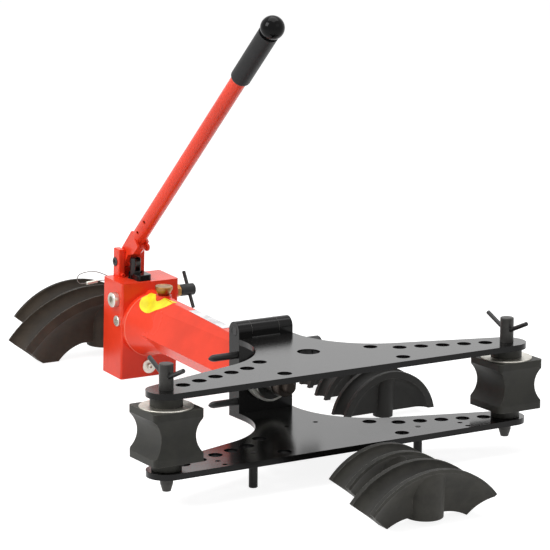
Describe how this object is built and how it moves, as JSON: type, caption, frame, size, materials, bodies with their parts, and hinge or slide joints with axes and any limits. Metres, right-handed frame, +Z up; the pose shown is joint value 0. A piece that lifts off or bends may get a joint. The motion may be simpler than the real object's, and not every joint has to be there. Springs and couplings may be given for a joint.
{
  "type": "hydraulic pipe bender",
  "caption": "Hand-pumped hydraulic pipe bender with open wings, turning angle blocks, lift-out pins, a sliding ram and a set of loose bending formers.",
  "frame": {"origin": "on the floor, at the middle of the whole set's length and width", "axes": "+X across the wings, +Y from the wings towards the pump, +Z up; the ram pushes along -Y"},
  "size_m": [0.6792, 1.173, 0.6609],
  "materials": {
    "gloss_black": "gloss black enamel",
    "red_paint": "gloss orange-red enamel",
    "former_iron": "dark grey phosphated casting",
    "block_steel": "dark machined steel",
    "zinc_plate": "bright zinc plate",
    "brass": "turned brass",
    "dark_steel": "blackened steel",
    "bright_steel": "ground and plated",
    "gland_metal": "turned, satin",
    "rubber": "matte",
    "grip_plastic": "matte black",
    "ball_plastic": "polished black"
  },
  "bodies": {
    "frame": {"lower_wing": "gloss_black", "rear_block": "gloss_black", "upper_wing": "gloss_black", "hinge_knuckle": "gloss_black", "hinge_pin": "dark_steel", "feet": "gloss_black", "foot_screws": "dark_steel", "cylinder_housing": "red_paint", "cylinder_gland": "gland_metal", "rod_wiper": "rubber", "pump_block": "red_paint", "plunger_gland": "gloss_black", "plunger_seal": "rubber", "fulcrum_ear_left": "red_paint", "fulcrum_ear_right": "red_paint", "fulcrum_web": "red_paint", "fulcrum_pin": "dark_steel", "fulcrum_screw": "dark_steel", "check_plug_large": "zinc_plate", "check_plug_small": "zinc_plate", "check_balls": "bright_steel", "front_washer": "zinc_plate", "front_screw": "zinc_plate", "filler_neck": "red_paint", "valve_boss": "red_paint", "valve_nut": "brass", "eye_screw": "zinc_plate", "lanyard_wire": "zinc_plate", "lanyard_ferrule": "zinc_plate"},
    "filler_cap": {"filler_cap": "brass"},
    "release_valve": {"valve_stem": "bright_steel", "valve_knob": "dark_steel", "tommy_bar": "dark_steel"},
    "ram": {"ram_rod": "bright_steel", "piston_seal": "rubber", "ram_nose": "dark_steel"},
    "plunger": {"pump_plunger": "dark_steel", "plunger_pin": "dark_steel"},
    "lever": {"lever_holder": "red_paint", "lever_tube": "red_paint", "lever_grip": "grip_plastic", "lever_ball": "ball_plastic", "lever_screw": "red_paint"},
    "pin_left": {"pivot_pin_left": "block_steel", "pivot_rod_left": "dark_steel"},
    "pin_right": {"pivot_pin_right": "block_steel", "pivot_rod_right": "dark_steel"},
    "block_left": {"angle_block_left": "block_steel", "block_ring_left": "zinc_plate"},
    "block_right": {"angle_block_right": "block_steel", "block_ring_right": "zinc_plate"},
    "retaining_pin_upper": {"retaining_pin_upper": "dark_steel"},
    "retaining_pin_lower": {"retaining_pin_lower": "dark_steel"},
    "former_42": {"former_42": "former_iron"},
    "former_34": {"former_34": "former_iron"},
    "former_60": {"former_60": "former_iron"},
    "former_48": {"former_48": "former_iron"},
    "former_27": {"former_27": "former_iron"},
    "former_21": {"former_21": "former_iron"},
    "former_17": {"former_17": "former_iron"}
  },
  "joints": [
    {"name": "filler_cap_turn", "type": "hinge", "parent": "frame", "child": "filler_cap", "pos_m": [0, 0.2115, 0.151], "axis": [0, 0, 1], "continuous": true},
    {"name": "release_valve_turn", "type": "hinge", "parent": "frame", "child": "release_valve", "pos_m": [0.075, 0.2745, 0.137], "axis": [-1, 0, 0], "range_deg": [0, 240]},
    {"name": "ram_slide", "type": "slide", "parent": "frame", "child": "ram", "axis": [0, -1, 0], "range_m": [0, 0.18]},
    {"name": "lever_swing", "type": "hinge", "parent": "frame", "child": "lever", "pos_m": [-0.011, 0.315, 0.1883], "axis": [-1, 0, 0], "range_deg": [-26, 26]},
    {"name": "plunger_slide", "type": "slide", "parent": "frame", "child": "plunger", "axis": [0, 0, 1], "range_m": [-0.0125, 0.0125]},
    {"name": "block_left_turn", "type": "hinge", "parent": "frame", "child": "block_left", "pos_m": [-0.299, -0.33394, 0.10762], "axis": [0, 0.047, 0.9989], "continuous": true},
    {"name": "pin_left_lift", "type": "slide", "parent": "frame", "child": "pin_left", "axis": [0, 0.047, 0.9989], "range_m": [0, 0.19]},
    {"name": "block_right_turn", "type": "hinge", "parent": "frame", "child": "block_right", "pos_m": [0.299, -0.33394, 0.10762], "axis": [0, 0.047, 0.9989], "continuous": true},
    {"name": "pin_right_lift", "type": "slide", "parent": "frame", "child": "pin_right", "axis": [0, 0.047, 0.9989], "range_m": [0, 0.19]},
    {"name": "retaining_pin_upper_pull", "type": "slide", "parent": "frame", "child": "retaining_pin_upper", "axis": [1, 0, 0], "range_m": [0, 0.16]},
    {"name": "retaining_pin_lower_pull", "type": "slide", "parent": "frame", "child": "retaining_pin_lower", "axis": [-1, 0, 0], "range_m": [0, 0.16]},
    {"name": "former_42_lift", "type": "slide", "parent": "frame", "child": "former_42", "axis": [0, 0, 1], "range_m": [0, 0.16]},
    {"name": "former_34_lift", "type": "slide", "parent": "frame", "child": "former_34", "axis": [0, 0, 1], "range_m": [0, 0.16]},
    {"name": "former_60_lift", "type": "slide", "parent": "frame", "child": "former_60", "axis": [0, 0, 1], "range_m": [0, 0.16]},
    {"name": "former_48_lift", "type": "slide", "parent": "frame", "child": "former_48", "axis": [0, 0, 1], "range_m": [0, 0.16]},
    {"name": "former_27_lift", "type": "slide", "parent": "frame", "child": "former_27", "axis": [0, 0, 1], "range_m": [0, 0.16]},
    {"name": "former_21_lift", "type": "slide", "parent": "frame", "child": "former_21", "axis": [0, 0, 1], "range_m": [0, 0.16]},
    {"name": "former_17_lift", "type": "slide", "parent": "frame", "child": "former_17", "axis": [0, 0, 1], "range_m": [0, 0.16]}
  ],
  "couplings": [
    {"joint": "plunger_slide", "follows": "lever_swing", "m_per_rad": 0.0264}
  ]
}
